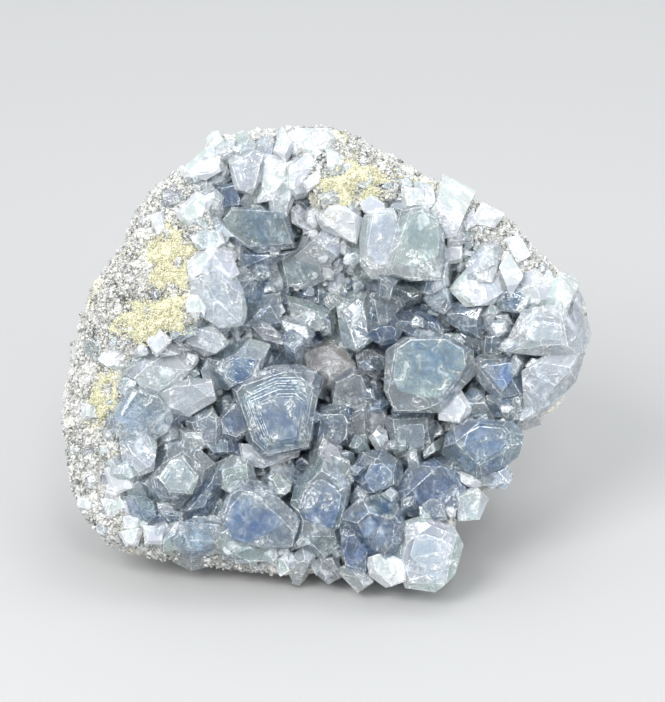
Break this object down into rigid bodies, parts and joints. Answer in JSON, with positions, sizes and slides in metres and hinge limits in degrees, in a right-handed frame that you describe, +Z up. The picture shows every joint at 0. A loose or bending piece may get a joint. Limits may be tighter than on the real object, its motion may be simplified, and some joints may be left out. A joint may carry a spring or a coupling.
{
  "type": "celestite cluster",
  "caption": "Celestite geode section that stands on its broken underside and leans back: a pale rock shell whose broad hollow is lined with intergrown blue tabular crystals.",
  "frame": {"origin": "middle of the whole footprint, at the level of the flat underside", "axes": "+Z up, -Y towards the viewer of the crystal face, +X to the viewer's right"},
  "size_m": [0.1316, 0.0778, 0.104],
  "materials": {
    "geode_rock": "rough, sugary, pale grey to white",
    "celestite": "clear to cloudy pale blue, glassy faces with frosted edges",
    "marl": "crumbly, matt, pale yellow"
  },
  "bodies": {
    "root": {"matrix": "geode_rock", "celestite_crystals": "celestite", "marl_upper_left": "marl", "marl_left": "marl", "marl_top": "marl", "marl_lower_left": "marl"}
  },
  "joints": []
}
